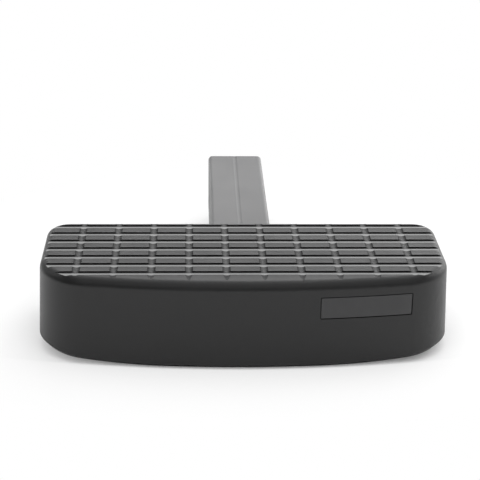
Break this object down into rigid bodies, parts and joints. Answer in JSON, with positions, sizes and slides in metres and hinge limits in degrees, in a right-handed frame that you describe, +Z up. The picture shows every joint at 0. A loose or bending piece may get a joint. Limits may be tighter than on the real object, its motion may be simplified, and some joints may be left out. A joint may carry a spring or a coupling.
{
  "type": "hitch receiver step",
  "caption": "Wide black elastomer step with a bowed front and a grooved tread, on a square shank with a cross bore for the pin of a two inch trailer hitch receiver.",
  "frame": {"origin": "centre of the hitch pin bore, on the axis of the shank", "axes": "+X along the pin bore, to the right of the bowed front seen from outside; +Y along the shank into the receiver; +Z up to the tread"},
  "size_m": [0.3262, 0.3195, 0.073],
  "materials": {
    "cover_rubber": "satin black moulded elastomer, a little rougher on the tread lands",
    "core_plastic": "black glass-filled moulding with a fine satin skin",
    "label_plastic": "bare dark plate, smooth"
  },
  "bodies": {
    "root": {"step_cover": "cover_rubber", "ribbed_core": "core_plastic", "shank": "core_plastic", "front_label": "label_plastic"}
  },
  "joints": []
}
